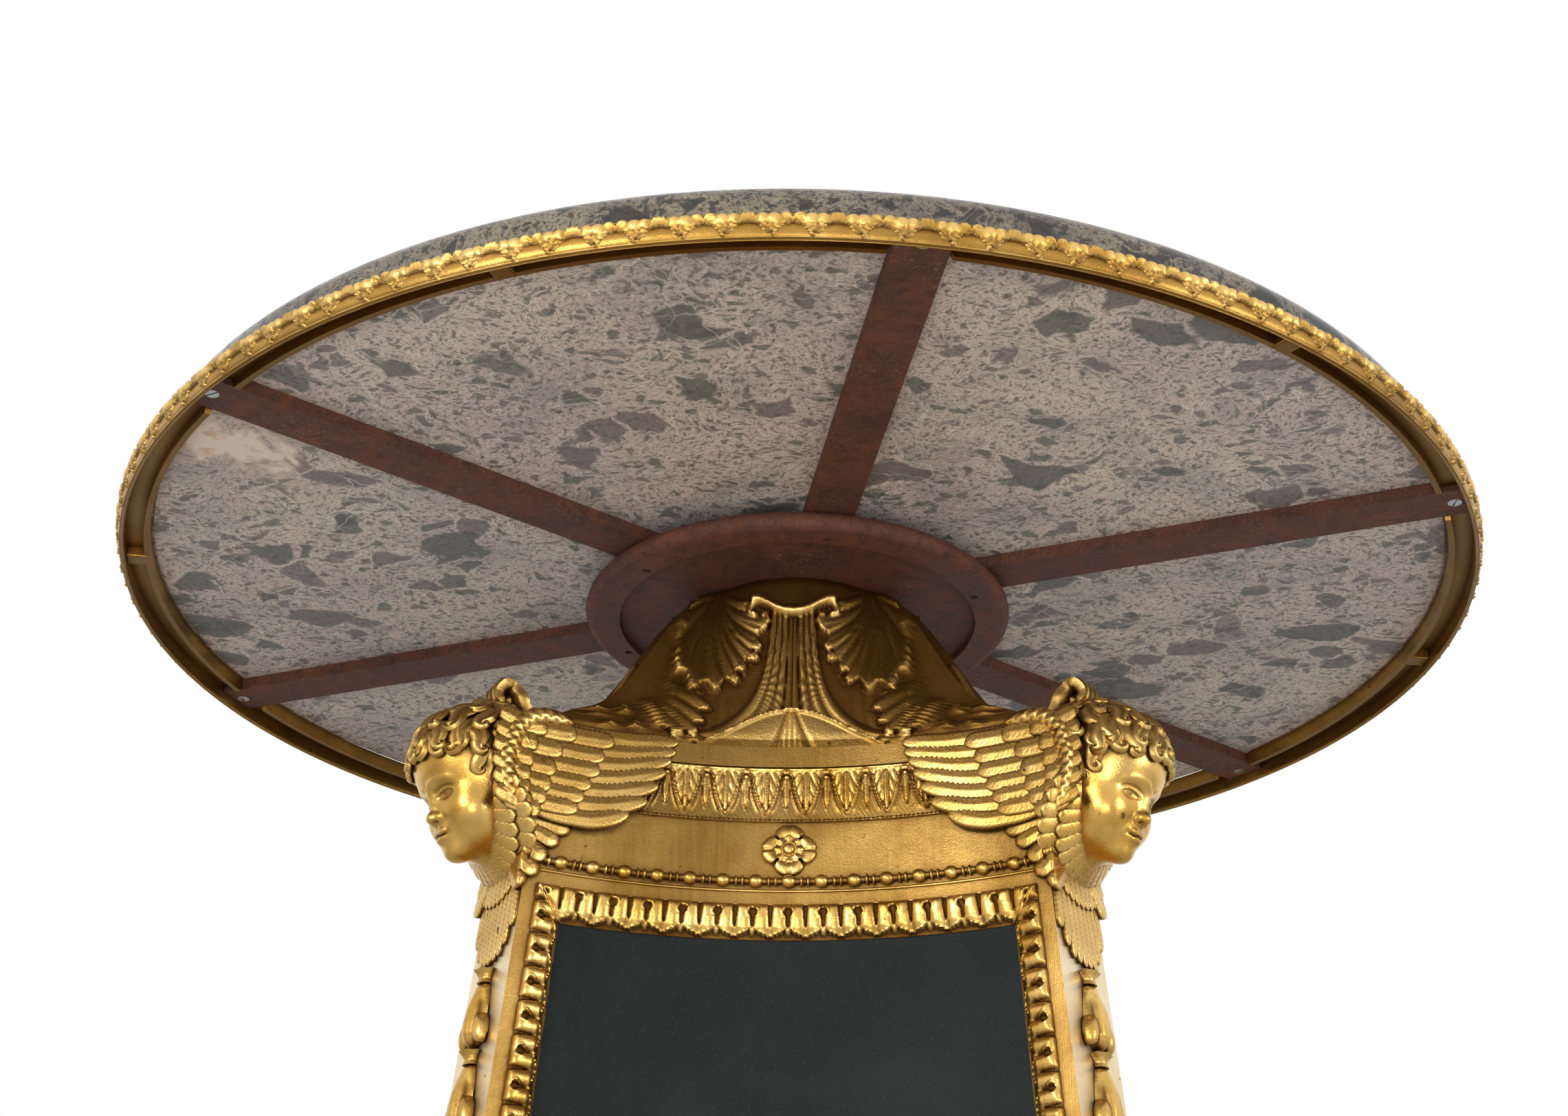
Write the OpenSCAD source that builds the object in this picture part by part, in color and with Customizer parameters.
// A round marble-topped gueridon on a three-sided gilt bronze pedestal.
// The origin is on the floor under the centre, +Z is up, and face 1 looks along -Y.
// The pedestal is a concave-sided triangle with cut corners that widens towards the floor.

/* [Top] */
// Height of the table from the floor to the marble's upper face
table_h = 840; // [780:1:900]
// Radius of the marble slab
marble_r = 419; // [400:1:430]
// Thickness of the marble slab, without the rebate under it
marble_t = 26; // [20:1:36]
// Radius of the slab's rounded upper edge
marble_edge_r = 14; // [6:1:18]
// Depth of the rebate that drops the slab into its rim
rebate_d = 4; // [2:0.5:6]
// Gap between the slab's rebate and the rim's inner flange
rebate_gap = 1.5; // [1:0.25:3]
// How far the rim's wall stands outside the slab
rim_step = 8; // [6:0.5:11]

/* [Rim] */
// Thickness of the rim's outer wall
rim_wall = 4; // [3:0.5:6]
// How far the wall rises beside the slab
rim_rise = 0; // [0:0.5:4]
// Radius of the round lip along the rim's lower edge
lip_r = 3.5; // [2.5:0.5:5]
// How far the lip's lowest point hangs below the straps
lip_drop = 7; // [5:0.5:9]
// Width of the channel between the wall and the inner flange, with the flange
channel_w = 15; // [13:0.5:18]
// Thickness of the web that the slab rests on
web_t = 4; // [3:0.5:5]
// Width of the inner flange that hangs from the web
flange_t = 3.5; // [2.5:0.5:4]
// How far the flange hangs below the web
flange_drop = 6; // [4:0.5:7]
// Number of leaf pairs round the rim
leaf_n = 60; // [48:6:72]
// Height of the leaf band
leaf_h = 12; // [9:0.5:12]
// How far the leaves stand out from the wall
leaf_out = 2; // [1.5:0.5:4]
// Gap between one leaf pair and the next
leaf_gap = 1.5; // [0.5:0.1:2.5]
// Number of cross lugs in the rim's channel
lug_n = 6; // [3:3:9]
// Width of a lug
lug_w = 12; // [8:1:20]

/* [Straps and disc] */
// Number of flat iron straps under the slab
strap_n = 6; // [6:1:6]
// Turn of the straps about the vertical, from the first face
strap_turn = 10.5; // [0:0.5:20]
// Width of a strap
strap_w = 30; // [20:1:36]
// Thickness of a strap
strap_t = 8; // [6:0.5:10]
// Gap between a strap's end and the rim's wall
strap_end_gap = 0.5; // [0.3:0.1:3]
// Distance of a strap's inner end from the centre
strap_in_r = 62; // [45:1:70]
// Distance of the rim screws from the rim's wall
screw_in = 7; // [5:0.5:9]
// Radius of a rim screw's countersunk head
screw_head_r = 4.2; // [3.5:0.1:5]
// Radius of a screw's or rivet's shank
shank_r = 2.4; // [1.5:0.1:2.8]
// Gap round a shank in its hole
shank_gap = 0.2; // [0.1:0.05:0.5]
// Distance of the outer rivets from the centre
rivet_out_r = 120; // [112:1:124]
// Distance of the inner rivets from the centre
rivet_in_r = 84; // [78:1:92]
// Radius of the iron disc
disc_r = 137; // [130:1:150]
// Thickness of the iron disc
disc_t = 12; // [10:0.5:16]
// Radius of the shallow dish in the disc's underside
dish_r = 115; // [105:1:120]
// Depth of the dish
dish_d = 4; // [2:0.5:5]

/* [Tie rod] */
// Radius of the iron rod that clamps the table together
rod_r = 8; // [5:0.5:9]
// Gap round the rod where it passes a plate
rod_gap = 0.5; // [0.3:0.1:1.5]
// Width of a rod nut across its flats
nut_af = 26; // [20:1:28]
// Height of the lower nut
nut_h = 12; // [8:1:16]
// Height of the thin upper nut
thin_nut_h = 6; // [4:0.5:6.5]
// Radius of a rod washer
washer_r = 17; // [15:0.5:20]
// Thickness of a rod washer
washer_t = 2; // [1.5:0.5:2.5]
// Depth of the pocket for the upper washer
nut_pocket = 3; // [2.5:0.5:4]

/* [Pedestal plan] */
// Distance of a cut corner from the centre, at the plan height
corner_r = 193.4; // [182:0.2:205]
// Width of a cut corner, at the plan height
corner_w = 59; // [52:1:64]
// Distance of a face's middle from the centre, at the plan height
face_y = 81; // [77:0.5:88]
// Height at which the plan is given
plan_z = 531; // [500:1:560]
// Lean of the corners from the vertical, in degrees
lean = 5.9; // [4:0.1:7]

/* [Pedestal heights] */
// Height of the cornice's upper face
cornice_top = 670.4; // [664:0.2:676]
// Height of the plain cornice band
cornice_h = 13; // [10:0.5:18]
// Height of the leaf frieze under the cornice
frieze_h = 34.5; // [30:0.5:38]
// Height of the middle of the rosettes
rosette_z = 604.4; // [601:0.2:606]
// Height of the middle of the bead moulding
bead_z = 584.4; // [580:0.2:587]
// Height of the frames' upper edge
frame_top = 571; // [562:0.5:574]
// Height of the frames' lower edge
frame_foot = 172; // [160:1:200]
// Height at which the pedestal's body stands on its base moulding
body_foot = 130; // [120:1:145]
// Height of the plinth's upper face
plinth_top = 82; // [74:1:90]
// Height of the feet
foot_h = 30; // [20:1:40]

/* [Walls and relief] */
// Thickness of the face plates
plate_t = 6; // [4:0.5:8]
// How far the cornice stands out from the face plates
cornice_out = 4; // [2:0.5:6]
// Radius of the hole in the middle of the cornice
cornice_hole_r = 46; // [30:1:60]
// How far the leaf frieze stands out at its upper edge
frieze_out = 3.6; // [2:0.2:4]
// How far the leaf frieze stands out at its lower edge
frieze_foot_out = 1.6; // [1:0.2:2.5]
// Width of the frame at its sides
frame_side_w = 17.5; // [14:0.5:20]
// Width of the frame at its top and foot
frame_top_w = 21; // [16:0.5:24]
// Width of the plain fillet between the frame and the corner
fillet_w = 8.5; // [6:0.5:10]
// How far the frame's outer edge stands out from the plate
frame_out = 2; // [1:0.5:4]
// How far the panel lies behind the plate's outer face
panel_back = 4; // [3:0.5:5]
// Thickness of the panel
panel_t = 6; // [4:0.5:8]
// Thickness of a corner post's front wall
post_t = 8; // [6:0.5:12]
// Gap between stacked ornaments and what carries them
seat_gap = 0.3; // [0.2:0.05:0.5]

/* [Bell] */
// Radius of the bell's upper rim
bell_top_r = 61; // [56:1:66]
// Wall of the bell casting
bell_wall = 6; // [4:0.5:8]
// Distance of the bell's foot behind the cornice edge
bell_inset = 3; // [1:0.5:8]
// Height of the bell's foot edge at the middle of a face
bell_foot_h = 8; // [7:0.5:16]
// Height of the saddle of an arm above the cornice
arm_saddle_h = 8; // [7:0.5:24]
// Radius of the scroll that ends an arm
scroll_r = 12.5; // [10:0.5:14]
// Length of that scroll
scroll_l = 26; // [18:1:34]
// Height of the scroll's middle above the cornice
scroll_up = 31; // [26:0.5:33]

/* [Ornaments] */
// Radius of a rosette
rosette_r = 16; // [12:0.5:17]
// Radius of a bead in the bead moulding
bead_r = 4.4; // [3.5:0.1:5]
// Distance from one bead to the next, along the plan of a face
bead_pitch = 19.8; // [18:0.1:22]
// Length left free at each end of the bead moulding
bead_end = 15; // [13:0.5:20]
// Distance from one husk to the next on a corner
husk_pitch = 48; // [44:1:60]
// Length of one husk
husk_l = 40; // [34:1:42]
// Largest radius of a husk
husk_r = 11; // [8:0.5:13]
// Height of the top of the husk chain
husk_top = 526; // [500:1:530]
// Span of an upper wing along its face
wing_span = 98; // [88:1:108]
// How far an upper wing runs on past the edge of its face, behind the head
wing_past = 11.5; // [9:0.5:13]
// Thickness of the upper wings
wing_t = 5.4; // [4:0.2:7]
// Extra thickness of the covert feathers at a wing's root
covert_t = 2.6; // [1:0.2:4]
// Thickness of the lower wings
low_wing_t = 6; // [4:0.5:8]
// How far the lower wings wrap round onto a face
low_wing_wrap = 22; // [16:0.5:26]
// Half the width of a child's head
head_r = 36; // [32:0.5:38]
// Distance of the head's middle from the cut corner behind it
head_out = 35; // [31:0.5:40]
// Height of the head's middle
head_z = 646; // [641:0.5:650]
// How far the head is bowed, in degrees
head_bow = 20; // [10:1:26]
// Height from the head's middle to its chin
chin_drop = 57; // [52:1:60]

/* [Base] */
// How far the base moulding's foot stands out from the body
base_out = 26; // [18:1:32]
// How far the plinth stands out from the base moulding's foot
plinth_out = 4; // [2:0.5:8]
// Depth of the cavetto in the base moulding
cavetto_d = 16; // [10:1:20]
// Thickness of the base and plinth walls
base_wall = 12; // [8:1:16]
// Radius of a foot
foot_r = 36; // [30:1:42]
// Distance of a foot's middle from the plinth's cut corner
foot_in = 40; // [38:1:60]
// Radius of the pocket for the lower nut, in the plinth's underside
nut_room_r = 36; // [28:1:44]

/* [Hidden] */
$fn = 96;
eps = 0.02;
side_n = 3;
side_turn = 360 / side_n;
corner_turn = side_turn / 2;
// Angle step of the faceted face arcs, in degrees
arc_step = 4;

// Heights that follow from the top
marble_low = table_h - marble_t - rebate_d;
strap_low = marble_low - strap_t;
disc_low = strap_low - disc_t;
dish_z = disc_low + dish_d;
slab_low = table_h - marble_t;

// Radii of the rim, from the slab outwards
rim_in_r = marble_r + rim_step;
rim_r = rim_in_r + rim_wall;
flange_in_r = rim_in_r - channel_w;
strap_out_r = rim_in_r - strap_end_gap;
screw_ring_r = rim_in_r - screw_in;

// Heights of the pedestal
cornice_low = cornice_top - cornice_h;
frieze_low = cornice_low - frieze_h;

// The face arc: its radius from the corner, the cut and the middle of the face
corner_nx = sin(corner_turn);
corner_ny = cos(corner_turn);
edge_x = corner_r * corner_nx - corner_w / 2 * corner_ny;
edge_y = corner_r * corner_ny + corner_w / 2 * corner_nx;
face_sag = edge_y - face_y;
face_r = (edge_x * edge_x + face_sag * face_sag) / (2 * face_sag);
arc_y = face_y + face_r;

// Everything in the pedestal is scaled about the axis by this factor at height z
function taper(z) = 1 + tan(lean) * (plan_z - z) / corner_r;
face_lean = atan(tan(lean) * face_y / corner_r);

// Angle of the end of the face arc that stands g outside the face plates
function arc_end(g) =
    let (h = corner_r + g - arc_y * corner_ny,
         half = sqrt(pow(face_r - g, 2) - h * h),
         ex = corner_nx * h + corner_ny * half,
         ey = -corner_ny * h + corner_nx * half)
    atan2(ex, ey);

// A point of a face: angle a along it, g outside the plates, at height z
function true_point(a, g, z) =
    let (s = taper(z), r = face_r - g)
    [s * r * sin(a), s * (r * cos(a) - arc_y), z];
// The same point on the faceted arc, so that pieces on one arc share their flats
function face_point(a, g, z) =
    let (k = floor(a / arc_step), f = a / arc_step - k)
    true_point(k * arc_step, g, z) * (1 - f) + true_point((k + 1) * arc_step, g, z) * f;
function turned(p, a) =
    [p[0] * cos(a) - p[1] * sin(a), p[0] * sin(a) + p[1] * cos(a), p[2]];
function degrees_of(l) = l / face_r * 180 / PI;

// The angles at which an arc from a0 to a1 has its points
function arc_angles(a0, a1) =
    let (k0 = ceil((a0 + eps) / arc_step), k1 = floor((a1 - eps) / arc_step))
    concat([a0], [for (k = [k0:k1]) k * arc_step], [a1]);

// The whole plan at height z, g outside the plates, with as many points at any g
function plan_angles(g) =
    let (k1 = floor(arc_end(-base_wall) / arc_step))
    concat([-arc_end(g)], [for (k = [-k1:k1]) k * arc_step], [arc_end(g)]);
function plan_ring(g, z) = [
    for (side = [0:side_n - 1])
        for (a = plan_angles(g))
            turned(face_point(a, g, z), side * side_turn)
];

// Six times the volume inside a list of faces, positive where they are wound outwards
function wound_volume(points, faces) =
    let (parts = [for (face = faces) for (k = [1:len(face) - 2])
        cross(points[face[k]], points[face[k + 1]]) * points[face[0]]])
    parts * [for (part = parts) 1];

// A closed solid through a list of rings of points, open-ended or closed on itself.
// Where an end isn't convex, a hub for each end is the point that its triangles meet at.
module skin(rings, looped = false, hubs = []) {
    n = len(rings);
    m = len(rings[0]);
    points = concat([for (ring = rings) for (p = ring) p], hubs);
    sides = [
        for (i = [0:(looped ? n - 1 : n - 2)])
            for (j = [0:m - 1])
                let (a = i * m + j, b = i * m + (j + 1) % m,
                     c = ((i + 1) % n) * m + (j + 1) % m, d = ((i + 1) % n) * m + j)
                each [[a, b, c], [a, c, d]]
    ];
    flat_ends = [[for (j = [m - 1:-1:0]) j], [for (j = [0:m - 1]) (n - 1) * m + j]];
    hub_ends = [
        for (j = [0:m - 1])
            each [[(j + 1) % m, j, n * m], [(n - 1) * m + j, (n - 1) * m + (j + 1) % m, n * m + 1]]
    ];
    ends = looped ? [] : len(hubs) == 0 ? flat_ends : hub_ends;
    faces = concat(sides, ends);
    inward = wound_volume(points, faces) > 0
        ? [for (face = faces) [for (k = [len(face) - 1:-1:0]) face[k]]]
        : faces;
    polyhedron(points, inward, convexity = 8);
}

// A curved block of a face, between two angles, two offsets and two heights
module face_block(a0, a1, g0, g1, z0, z1) {
    skin([for (a = arc_angles(a0, a1)) [
        face_point(a, g0, z0), face_point(a, g1, z0), face_point(a, g1, z1), face_point(a, g0, z1)
    ]]);
}

// A block of the whole plan through steps of [stand-out, height], from its foot up
module plan_block(steps) {
    skin([for (step = steps) plan_ring(step[0], step[1])],
         hubs = [[0, 0, steps[0][1]], [0, 0, steps[len(steps) - 1][1]]]);
}

// Places a child on a corner's cut at height z, its -Y outwards and its Z up the slope
module on_corner(z) {
    rotate([0, 0, corner_turn])
        translate([0, -corner_r * taper(z), z])
            rotate([-lean, 0, 0])
                children();
}

// Places a child on the middle of face 1 at height z, its -Y outwards
module on_face(z) {
    translate([0, -face_y * taper(z), z])
        rotate([-face_lean, 0, 0])
            children();
}

module on_side(number) {
    rotate([0, 0, (number - 1) * side_turn])
        children();
}

module on_straps() {
    for (i = [0:strap_n - 1])
        rotate([0, 0, strap_turn + i * 360 / strap_n])
            children();
}

// The slab: a round edge above, and a rebate below that drops into the rim
module marble_top() {
    color("rosybrown")
        rotate_extrude() {
            translate([0, marble_low])
                square([flange_in_r - rebate_gap, rebate_d + eps]);
            translate([0, slab_low])
                square([marble_r - marble_edge_r, marble_t]);
            translate([0, slab_low])
                square([marble_r, marble_t - marble_edge_r]);
            translate([marble_r - marble_edge_r, table_h - marble_edge_r])
                intersection() {
                    circle(r = marble_edge_r);
                    square(marble_edge_r);
                }
        }
}

// One leaf pair with its plain tongue, seen from outside, centred on its joint
module leaf_outline(pitch) {
    scallop = pitch / 2;
    difference() {
        union() {
            for (side = [-1, 1])
                translate([side * pitch * 0.12, leaf_h - pitch * 0.12])
                    circle(r = pitch * 0.12, $fn = 20);
            for (side = [-1, 1])
                translate([side * pitch * 0.29, leaf_h - pitch * 0.13])
                    circle(r = pitch * 0.09, $fn = 20);
            translate([-pitch / 2, 0])
                square([pitch, leaf_h - pitch * 0.14]);
        }
        for (x = [-1:1])
            translate([x * scallop, 0])
                circle(r = scallop * 0.36, $fn = 24);
    }
}

// The rim's section: a wall with a round lip, a web that carries the slab, and a flange
module rim_section() {
    translate([rim_in_r, strap_low - lip_drop + lip_r])
        square([rim_wall, lip_drop - lip_r + strap_t + rebate_d + rim_rise]);
    translate([rim_in_r + rim_wall / 2, strap_low - lip_drop + lip_r])
        circle(r = lip_r, $fn = 32);
    translate([flange_in_r, slab_low - web_t])
        square([channel_w + eps, web_t]);
    translate([flange_in_r, slab_low - web_t - flange_drop])
        square([flange_t, flange_drop + eps]);
}

module rim_band() {
    pitch = 2 * PI * rim_r / leaf_n;
    leaf_low = slab_low + rim_rise - leaf_h;
    color("goldenrod")
        difference() {
            union() {
                rotate_extrude()
                    rim_section();
                for (i = [0:leaf_n - 1])
                    rotate([0, 0, strap_turn + (i + 0.5) * 360 / leaf_n])
                        translate([0, -rim_r + 1, leaf_low])
                            rotate([90, 0, 0])
                                linear_extrude(leaf_out + 1)
                                    leaf_outline(pitch - leaf_gap);
                for (i = [0:lug_n - 1])
                    rotate([0, 0, strap_turn + (i + 0.5) * 360 / lug_n])
                        translate([-lug_w / 2, -rim_in_r - eps, slab_low - web_t - flange_drop])
                            cube([lug_w, channel_w, flange_drop + eps]);
            }
            on_straps() {
                translate([-strap_w / 2 - seat_gap, -flange_in_r - 1.5 * flange_t, strap_low])
                    cube([strap_w + 2 * seat_gap, 2 * flange_t, strap_t]);
                translate([0, -screw_ring_r, marble_low - eps])
                    cylinder(r = shank_r + shank_gap, h = web_t + 2 * eps, $fn = 24);
            }
        }
}

// A flat iron strap, countersunk from below at the rim and drilled for its rivets
module strap(number) {
    color("saddlebrown")
        rotate([0, 0, strap_turn + (number - 1) * 360 / strap_n])
            difference() {
                translate([-strap_w / 2, -strap_out_r, strap_low])
                    cube([strap_w, strap_out_r - strap_in_r, strap_t]);
                translate([0, -screw_ring_r, strap_low]) {
                    translate([0, 0, -eps])
                        cylinder(r = shank_r + shank_gap, h = strap_t + 2 * eps, $fn = 24);
                    translate([0, 0, -eps])
                        cylinder(r1 = screw_head_r + shank_gap, r2 = shank_r + shank_gap,
                                 h = screw_head_r - shank_r + eps, $fn = 32);
                }
                for (r = [rivet_in_r, rivet_out_r])
                    translate([0, -r, strap_low - eps])
                        cylinder(r = shank_r + shank_gap, h = strap_t + 2 * eps, $fn = 24);
            }
}

// Slotted countersunk screws that hold the rim's web down on the straps
module rim_screws() {
    slot_w = 1;
    slot_d = 1.2;
    color("lightsteelblue")
        on_straps()
            translate([0, -screw_ring_r, strap_low])
                difference() {
                    union() {
                        cylinder(r1 = screw_head_r, r2 = shank_r, h = screw_head_r - shank_r, $fn = 32);
                        cylinder(r = shank_r, h = strap_t + web_t - 0.5, $fn = 24);
                    }
                    rotate([0, 0, 25])
                        translate([-screw_head_r - 1, -slot_w / 2, -eps])
                            cube([2 * screw_head_r + 2, slot_w, slot_d]);
                }
}

// Rivets that join the straps to the disc, with flat heads on top of the straps
module strap_rivets() {
    color("dimgray")
        on_straps()
            for (r = [rivet_in_r, rivet_out_r])
                translate([0, -r, strap_low - disc_t + dish_d])
                    cylinder(r = shank_r, h = disc_t - dish_d + strap_t - 0.5, $fn = 24);
}

// The iron disc under the straps: a round edge, a shallow dish below and a pocket above
module crown_disc() {
    color("saddlebrown")
        difference() {
            rotate_extrude() {
                translate([0, disc_low])
                    square([disc_r - disc_t / 2, disc_t]);
                translate([disc_r - disc_t / 2, disc_low + disc_t / 2])
                    circle(r = disc_t / 2, $fn = 48);
            }
            translate([0, 0, disc_low - eps])
                cylinder(r = dish_r, h = dish_d + eps);
            translate([0, 0, strap_low - nut_pocket])
                cylinder(r = washer_r + rod_gap, h = nut_pocket + eps);
            translate([0, 0, disc_low - eps])
                cylinder(r = rod_r + rod_gap, h = disc_t + 2 * eps);
            on_straps()
                for (r = [rivet_in_r, rivet_out_r])
                    translate([0, -r, disc_low - eps])
                        cylinder(r = shank_r + shank_gap, h = disc_t + 2 * eps, $fn = 24);
        }
}

rod_top = strap_low - nut_pocket + washer_t + thin_nut_h + 1;
plinth_deck = plinth_top - base_wall;

// The rod runs from under the plinth to the disc's pocket
module tie_rod() {
    color("gray")
        translate([0, 0, plinth_deck - washer_t - nut_h - 3])
            cylinder(r = rod_r, h = rod_top - plinth_deck + washer_t + nut_h + 3);
}

module nut(h) {
    difference() {
        cylinder(r = nut_af / sqrt(3), h = h, $fn = 6);
        translate([0, 0, -eps])
            cylinder(r = rod_r + shank_gap, h = h + 2 * eps);
    }
}

module washer() {
    difference() {
        cylinder(r = washer_r, h = washer_t);
        translate([0, 0, -eps])
            cylinder(r = rod_r + shank_gap, h = washer_t + 2 * eps);
    }
}

module rod_nuts() {
    color("dimgray") {
        translate([0, 0, strap_low - nut_pocket])
            washer();
        translate([0, 0, strap_low - nut_pocket + washer_t])
            nut(thin_nut_h);
        translate([0, 0, plinth_deck - washer_t])
            washer();
        translate([0, 0, plinth_deck - washer_t - nut_h])
            nut(nut_h);
    }
}

// The bell between the cornice and the disc. Its section goes from a circle at the top
// to the pedestal's plan at the foot, and its crest sweeps out along three arms.
bell_top_z = dish_z;
bell_h = bell_top_z - cornice_top;
bell_steps = [0, 0.1, 0.2, 0.3, 0.4, 0.5, 0.62, 0.76, 0.88, 1];
// Height of the crest along an arm: a fall like an S, a saddle and a rise to the scroll
function arm_height(f) =
    let (fall = (1 + cos(180 * min(1, f / 0.78))) / 2, rise = pow(max(0, (f - 0.84) / 0.16), 1.8))
    arm_saddle_h + (bell_h - arm_saddle_h) * fall + (scroll_up - arm_saddle_h) * rise;
// Height of the bell over the middle of a face: a full round shoulder
function face_height(f) = bell_foot_h + (bell_h - bell_foot_h) * pow(1 - pow(f, 1.25), 0.8);
// How much of the arm's crest is felt at an angle off the corner
function arm_share(off) = pow(1 - min(off, corner_turn) / corner_turn, 2.6);
function bell_outline(inset) = [
    for (side = [0:side_n - 1])
        each concat(
            [for (a = [-3:3]) turned(true_point(a * arc_end(0) / 3.4, -inset, cornice_top), side * side_turn)],
            [for (u = [-1, -0.5, 0, 0.5, 1])
                let (r = (corner_r - inset) * taper(cornice_top))
                turned([u * (corner_w / 2 - inset) * taper(cornice_top), -r, cornice_top],
                       corner_turn + side * side_turn)])
];
function bell_height(p, f) =
    let (az = atan2(p[0], -p[1]),
         turn = az < 0 ? az + 360 : az,
         off = abs((turn % side_turn) - corner_turn),
         share = arm_share(off))
    face_height(f) * (1 - share) + arm_height(f) * share;
function bell_loop(p) =
    let (foot = norm([p[0], p[1]]), ux = p[0] / foot, uy = p[1] / foot,
         in_foot = foot - bell_wall, in_top = bell_top_r - bell_wall,
         outer = [for (f = bell_steps)
             let (r = bell_top_r + (foot - bell_top_r) * f)
             [ux * r, uy * r, cornice_top + bell_height(p, f)]],
         inner = [for (i = [len(bell_steps) - 1:-1:1])
             let (f = bell_steps[i], r = in_top + (in_foot - in_top) * f)
             [ux * r, uy * r, cornice_top + bell_height(p, f) - bell_wall]])
    concat(outer, [[ux * foot, uy * foot, cornice_top], [ux * in_foot, uy * in_foot, cornice_top]],
           inner, [[ux * in_top, uy * in_top, bell_top_z]]);
module bell() {
    color("darkgoldenrod") {
        skin([for (p = bell_outline(bell_inset)) bell_loop(p)], looped = true);
    }
}

// A scroll that ends one arm of the bell, behind the head
module arm_scroll(number) {
    r = (corner_r - bell_inset) * taper(cornice_top) + seat_gap + scroll_r;
    color("goldenrod")
        on_side(number)
            rotate([0, 0, corner_turn])
                translate([-scroll_l / 2, -r, cornice_top + scroll_up])
                    rotate([0, 90, 0])
                        cylinder(r = scroll_r, h = scroll_l, $fn = 40);
}

// The plain slab over the face plates, with its clear middle
module cornice() {
    color("goldenrod")
        difference() {
            plan_block([[cornice_out, cornice_low], [cornice_out, cornice_top]]);
            translate([0, 0, cornice_low - eps])
                cylinder(r = cornice_hole_r, h = cornice_h + 2 * eps);
        }
}

// A strip of upright leaves under the cornice, leaning out to it
module leaf_frieze(number) {
    a1 = arc_end(0);
    color("goldenrod")
        on_side(number)
            skin([for (a = arc_angles(-a1, a1)) [
                face_point(a, seat_gap, frieze_low), face_point(a, frieze_foot_out, frieze_low),
                face_point(a, frieze_foot_out, frieze_low + frieze_h / 6),
                face_point(a, frieze_out, cornice_low - frieze_h / 8),
                face_point(a, frieze_out, cornice_low), face_point(a, seat_gap, cornice_low)
            ]]);
}

frame_a1 = arc_end(0) - degrees_of(fillet_w);
panel_a1 = frame_a1 - degrees_of(frame_side_w);
panel_top_z = frame_top - frame_top_w;
panel_foot_z = frame_foot + frame_top_w;

// One face plate: mitred to the corner posts, with a window for its frame
module face_plate(number) {
    front = arc_angles(-arc_end(0), arc_end(0));
    last = len(front) - 1;
    back_end = arc_end(-plate_t);
    back = concat([-back_end], [for (i = [1:last - 1]) front[i]], [back_end]);
    // The window's edges run straight back from half the width of the frame
    window_x = (face_r + plate_t) * sin(panel_a1 + degrees_of(frame_side_w / 2));
    window_low = frame_foot + frame_top_w / 2;
    window_high = frame_top - frame_top_w / 2;
    color("goldenrod")
        on_side(number)
            difference() {
                skin([for (i = [0:last]) [
                    face_point(front[i], 0, body_foot), face_point(back[i], -plate_t, body_foot),
                    face_point(back[i], -plate_t, cornice_low), face_point(front[i], 0, cornice_low)
                ]]);
                rotate([90, 0, 0])
                    linear_extrude(2 * corner_r)
                        polygon([
                            [-window_x * taper(window_low), window_low],
                            [window_x * taper(window_low), window_low],
                            [window_x * taper(window_high), window_high],
                            [-window_x * taper(window_high), window_high]
                        ]);
            }
}

// One moulded frame, swept round the window and mitred at its corners
module panel_frame(number) {
    // Across the moulding: share of its width from the outer edge, and stand-out from the plate
    section = [[0, seat_gap], [0, frame_out], [0.2, frame_out + 1], [0.7, frame_out - 1.4],
               [1, -panel_back + 1], [1, -panel_back + seat_gap], [0.5 + eps, -panel_back + seat_gap],
               [0.5 + eps, seat_gap]];
    function span(w) = frame_a1 - degrees_of(frame_side_w) * w;
    color("goldenrod")
        on_side(number)
            skin([
                for (end = [1, -1])
                    for (a = arc_angles(-frame_a1, frame_a1)) [
                        for (p = section)
                            face_point(-end * a * span(p[0]) / frame_a1, p[1],
                                       end > 0 ? frame_top - frame_top_w * p[0]
                                               : frame_foot + frame_top_w * p[0])
                    ]
            ], looped = true);
}

// One dark panel, held behind its frame
module panel(number) {
    reach = degrees_of(frame_side_w / 2 - 1);
    color([0.12, 0.14, 0.13])
        on_side(number)
            face_block(-panel_a1 - reach, panel_a1 + reach, -panel_back - panel_t, -panel_back,
                       panel_foot_z - frame_top_w / 2 + 1, panel_top_z + frame_top_w / 2 - 1);
}

// One corner post: a front wall mitred between two face plates, and a rib behind it
module corner_post(number) {
    rib = corner_w / 4;
    // Half its section at height z, from the arris to the mitre and to the rib's end
    function half_section(z) = [
        turned(face_point(arc_end(0), 0, z), -corner_turn),
        turned(face_point(arc_end(-plate_t), -plate_t, z), -corner_turn),
        [-rib, -(corner_r - 3 * post_t) * taper(z), z]
    ];
    function other(p) = [-p[0], p[1], p[2]];
    foot = half_section(body_foot);
    head = half_section(cornice_low);
    color("khaki")
        on_side(number)
            rotate([0, 0, corner_turn])
                skin([for (i = [0:2]) [foot[i], other(foot[i]), other(head[i]), head[i]]]);
}

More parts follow.
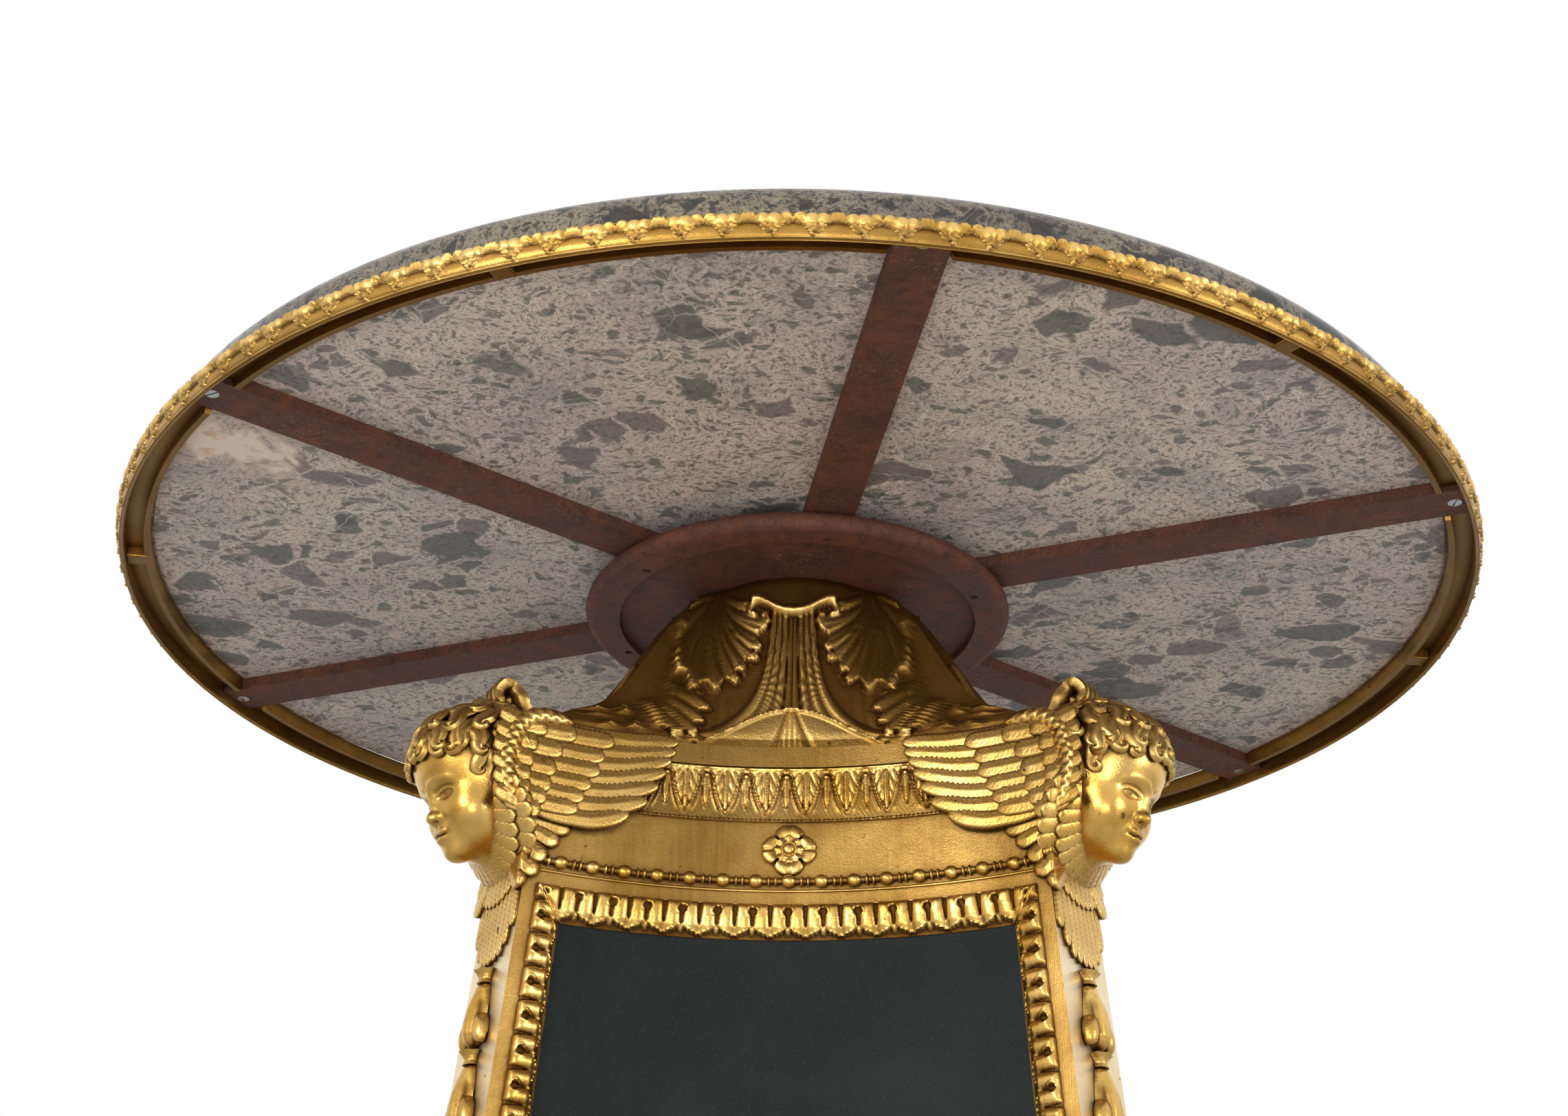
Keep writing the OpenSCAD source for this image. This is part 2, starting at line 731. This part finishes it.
// A rosette of eight petals with a ringed boss
module rosette(number) {
    petals = 8;
    // A flat back stands off a hollow face by the depth of its curve
    stand_off = seat_gap + rosette_r * rosette_r / (2 * face_r * taper(rosette_z));
    color("gold")
        on_side(number)
            on_face(rosette_z)
                translate([0, -stand_off, 0])
                    rotate([90, 0, 0]) {
                        for (i = [0:petals - 1])
                            rotate([0, 0, (i + 0.5) * 360 / petals])
                                translate([rosette_r * 0.62, 0, 0])
                                    cylinder(r = rosette_r * 0.38, h = 3, $fn = 24);
                        cylinder(r = rosette_r * 0.68, h = 2.4, $fn = 40);
                        cylinder(r = rosette_r * 0.42, h = 4.6, $fn = 40);
                        translate([0, 0, 4.2])
                            sphere(r = rosette_r * 0.24, $fn = 32);
                    }
}

// A disc with its back cut flat, drawn with the back along +Y
module flat_backed(r, back) {
    intersection() {
        circle(r = r, $fn = 32);
        translate([-r, -r])
            square([2 * r, r + back]);
    }
}

// Beads and pairs of reels threaded along the face, each with a flat back
module bead_moulding(number) {
    s = taper(bead_z);
    cord_r = bead_r * 0.5;
    sunk = bead_r * 0.35;
    back = sunk - 2 * seat_gap;
    line_r = (face_r - sunk) * s;
    pitch = degrees_of(bead_pitch);
    side_beads = floor((arc_end(0) - degrees_of(bead_end + bead_r)) / pitch);
    // The cord ends in a short stub past the last bead
    reach = side_beads * pitch + degrees_of(bead_r + 2);
    function bead_angle(i) = (i - side_beads) * pitch;
    color("gold")
        on_side(number)
            translate([0, -arc_y * s, bead_z]) {
                rotate([0, 0, 90 - reach])
                    rotate_extrude(angle = 2 * reach, $fn = 180)
                        translate([line_r, 0])
                            rotate([0, 0, -90])
                                flat_backed(cord_r, back - seat_gap);
                for (i = [0:2 * side_beads])
                    rotate([0, 0, bead_angle(i)])
                        translate([0, line_r, 0])
                            rotate([90, 0, 0])
                                rotate_extrude($fn = 32)
                                    intersection() {
                                        circle(r = bead_r, $fn = 32);
                                        translate([0, -back])
                                            square([bead_r, bead_r + back]);
                                    }
                for (i = [0:2 * side_beads - 1])
                    for (t = [0.4, 0.6])
                        rotate([0, 0, bead_angle(i + t)])
                            translate([-0.7, line_r, 0])
                                rotate([0, 90, 0])
                                    linear_extrude(1.4)
                                        flat_backed(bead_r * 0.85, back);
            }
}

// One husk: a bell with a collar and two round lobes
module husk() {
    translate([0, 0, -husk_l])
        rotate_extrude($fn = 32)
            polygon([[0, 0], [husk_r * 0.55, 0], [husk_r * 0.85, husk_l * 0.12], [husk_r, husk_l * 0.35],
                     [husk_r * 0.72, husk_l * 0.65], [husk_r * 0.42, husk_l * 0.86],
                     [husk_r * 0.5, husk_l * 0.93], [husk_r * 0.3, husk_l], [0, husk_l]]);
    for (side = [-1, 1])
        translate([side * husk_r, 0, -husk_l * 0.72])
            sphere(r = husk_r * 0.6, $fn = 24);
}

// A chain of husks down one corner, under a small leaf cluster
module husk_chain(number) {
    length = husk_top - body_foot - husk_l / 2;
    husks = floor((length - husk_r) / husk_pitch);
    color("gold")
        on_side(number)
            on_corner(husk_top)
                difference() {
                    union() {
                        for (x = [-1:1])
                            translate([x * husk_r * 0.75, 0, -husk_r * 0.55])
                                sphere(r = husk_r * 0.55, $fn = 24);
                        translate([-husk_r * 0.12, -husk_r * 0.24, -husk_pitch * husks])
                            cube([husk_r * 0.24, husk_r * 0.24, husk_pitch * husks]);
                        for (i = [0:husks - 1])
                            translate([0, 0, -husk_r * 0.9 - i * husk_pitch])
                                husk();
                    }
                    translate([-2 * husk_r, -seat_gap, -length - husk_l])
                        cube([4 * husk_r, 3 * husk_r, length + 2 * husk_l]);
                }
}

// The outline of an upper wing on the right of a face, seen from the front
wing_root_x = edge_x + wing_past;
wing_tip_x = wing_root_x - wing_span;
covert_x = wing_tip_x + wing_span * 0.55;
function wing_outline(tip, root, low, high) =
    let (w = root - tip, h = high - low)
    [[tip, high - 0.1 * h], [tip + 0.02 * w, high - 0.28 * h], [tip + 0.08 * w, high - 0.52 * h],
     [tip + 0.18 * w, high - 0.74 * h], [tip + 0.32 * w, high - 0.89 * h],
     [tip + 0.5 * w, low + 0.02 * h], [tip + 0.66 * w, low],
     [tip + 0.8 * w, low + 0.1 * h], [root, low + 0.3 * h], [root, high - 0.26 * h],
     [tip + 0.93 * w, high - 0.04 * h], [tip + 0.8 * w, high], [tip + 0.3 * w, high - 0.02 * h]];
wing_low = frieze_low - 15;
wing_high = cornice_top + 1;
wing_g = cornice_out + seat_gap;
// A curved plate over a face between two distances from its middle line
module wing_plate(x0, x1, thick) {
    face_block(asin(x0 / face_r), asin(x1 / face_r), wing_g, wing_g + thick, wing_low - 4, wing_high + 4);
}

// One upper wing on the right end of a face: long feathers, and coverts at the root
module upper_wing() {
    intersection() {
        wing_plate(wing_tip_x - 5, wing_root_x + 16, wing_t);
        rotate([90, 0, 0])
            linear_extrude(2 * face_y)
                polygon(wing_outline(wing_tip_x, wing_root_x, wing_low, wing_high));
    }
    intersection() {
        wing_plate(covert_x - 5, wing_root_x + 16, wing_t + covert_t);
        rotate([90, 0, 0])
            linear_extrude(2 * face_y)
                polygon(wing_outline(covert_x, wing_root_x, wing_low + 6, wing_high - 2));
    }
}

// The two upper wings of one head, on the two faces that meet at its corner
module upper_wings(number) {
    color("gold")
        on_side(number) {
            upper_wing();
            rotate([0, 0, side_turn])
                mirror([1, 0, 0])
                    upper_wing();
        }
}

// The lower wings: a bib under the head that wraps both edges and ends in a point
low_wing_top = wing_low - 0.5;
low_wing_foot = husk_top + 1;
module lower_wings(number) {
    g0 = seat_gap;
    g1 = seat_gap + low_wing_t;
    half = corner_w / 2;
    front_r = corner_r * taper(low_wing_top);
    h = low_wing_top - low_wing_foot;
    flap_end = arc_end(g0) - degrees_of(low_wing_wrap + 6);
    function arris(g, z) = turned(face_point(arc_end(g), g, z), -corner_turn);
    function flap(g, z) = turned(face_point(flap_end, g, z), -corner_turn);
    function wrap(z) =
        let (line = [arris(g1, z), flap(g1, z), flap(g0, z), arris(g0, z)])
        concat([for (p = line) [p[0], p[1], z]], [for (i = [3:-1:0]) [-line[i][0], line[i][1], z]]);
    // Half of the outline from the front, and the inner edge of a flap from the side
    front = [[0, 0], [0.4 * half, 0.01 * h], [0.75 * half, 0.12 * h], [0.95 * half, 0.27 * h],
             [1.25 * half, 0.46 * h], [1.6 * half, h]];
    side_edge = [[low_wing_wrap, h], [low_wing_wrap - 4, 0.83 * h], [low_wing_wrap * 0.42, 0.7 * h],
                 [2, 0.58 * h], [-low_wing_t, 0.46 * h], [-low_wing_t, -1], [-2 * half, -1], [-2 * half, h]];
    color("gold")
        on_side(number)
            rotate([0, 0, corner_turn])
                intersection() {
                    skin([wrap(low_wing_foot - 2), wrap(low_wing_top + 2)]);
                    rotate([90, 0, 0])
                        linear_extrude(2 * corner_r)
                            polygon(concat(
                                [for (p = front) [p[0], low_wing_foot + p[1]]],
                                [for (i = [len(front) - 1:-1:1]) [-front[i][0], low_wing_foot + front[i][1]]]
                            ));
                    translate([-2 * half, 0, 0])
                        rotate([90, 0, 90])
                            linear_extrude(4 * half)
                                polygon([for (p = side_edge) [p[0] - front_r, low_wing_foot + p[1]]]);
                }
}

// A calm child's head: skull, cheeks and chin in one hull, a nose, and a cap of curls
module head_form() {
    hull() {
        sphere(r = head_r - 2, $fn = 28);
        translate([0, 0, -chin_drop * 0.42])
            sphere(r = head_r * 0.73, $fn = 24);
        translate([0, -head_r * 0.42, -chin_drop + 9])
            sphere(r = 9, $fn = 16);
    }
    translate([0, -head_r * 0.8, -chin_drop * 0.34])
        sphere(r = 4.5, $fn = 16);
    for (row = [0:2])
        for (i = [0:6 - row])
            let (turn = (i - (6 - row) / 2) * (34 + 6 * row), rise = 24 + 25 * row)
            rotate([0, 0, turn])
                translate([0, -(head_r - 6) * cos(rise), (head_r - 6) * sin(rise)])
                    sphere(r = 11, $fn = 24);
}

// The head stands clear of the bib behind it and of the ends of the two wings beside it
module cherub_head(number) {
    back_r = corner_r * taper(head_z);
    wing_end_r = corner_r + 17;
    wing_end_x = corner_w / 2 - 2;
    color("gold")
        on_side(number)
            rotate([0, 0, corner_turn])
                difference() {
                    translate([0, -back_r - head_out, head_z])
                        rotate([head_bow, 0, 0])
                            head_form();
                    translate([0, -back_r - low_wing_t - 2 * seat_gap, head_z])
                        rotate([-lean, 0, 0])
                            translate([-60, 0, -90])
                                cube([120, 60, 200]);
                    for (side = [0, 1])
                        mirror([side, 0, 0])
                            translate([wing_end_x, -wing_end_r, head_z - 90])
                                cube([30, 40, 200]);
                }
}

// The base moulding: a torus and a cavetto that run round the whole plan, hollow inside
module base_moulding() {
    h = body_foot - plinth_top;
    cavetto = [for (i = [0:4]) let (a = i * 90 / 4)
        [base_out - 3 - cavetto_d * (1 - cos(a)), plinth_top + h * (0.42 + 0.42 * sin(a))]];
    steps = concat([[base_out, plinth_top], [base_out + 2, plinth_top + h * 0.1],
                    [base_out + 2, plinth_top + h * 0.24], [base_out, plinth_top + h * 0.34],
                    [base_out - 3, plinth_top + h * 0.36]], cavetto,
                   [[4, body_foot - h * 0.1], [4, body_foot], [-base_wall, body_foot], [-base_wall, plinth_top]]);
    rings = [for (p = steps) plan_ring(p[0], p[1])];
    color("goldenrod")
        skin([for (i = [0:len(rings[0]) - 1]) [for (ring = rings) ring[i]]], looped = true);
}

// The plinth: a block with a chamfered top edge, bored for the rod and its lower nut
module plinth() {
    g = base_out + plinth_out;
    color("darkolivegreen")
        difference() {
            plan_block([[g, foot_h], [g, plinth_top - 4], [g - 3, plinth_top]]);
            translate([0, 0, foot_h - 1])
                cylinder(r = nut_room_r, h = plinth_deck - foot_h + 1);
            translate([0, 0, plinth_deck - eps])
                cylinder(r = rod_r + rod_gap, h = base_wall + 2 * eps);
        }
}

// A flattened bun foot under one corner of the plinth
foot_ring_r = (corner_r + base_out + plinth_out) * taper(foot_h) - foot_in;
module foot(number) {
    color("goldenrod")
        on_side(number)
            rotate([0, 0, corner_turn])
                translate([0, -foot_ring_r, 0])
                    rotate_extrude($fn = 64) {
                        square([foot_r - foot_h / 2 + 2, foot_h]);
                        translate([foot_r - foot_h * 0.42, foot_h * 0.45])
                            circle(r = foot_h * 0.42, $fn = 40);
                    }
}

marble_top();
rim_band();
for (i = [1:strap_n])
    strap(i);
rim_screws();
strap_rivets();
crown_disc();
tie_rod();
rod_nuts();
bell();
cornice();
for (i = [1:side_n]) {
    arm_scroll(i);
    leaf_frieze(i);
    face_plate(i);
    rosette(i);
    bead_moulding(i);
    panel_frame(i);
    panel(i);
    corner_post(i);
    husk_chain(i);
    cherub_head(i);
    upper_wings(i);
    lower_wings(i);
    foot(i);
}
base_moulding();
plinth();
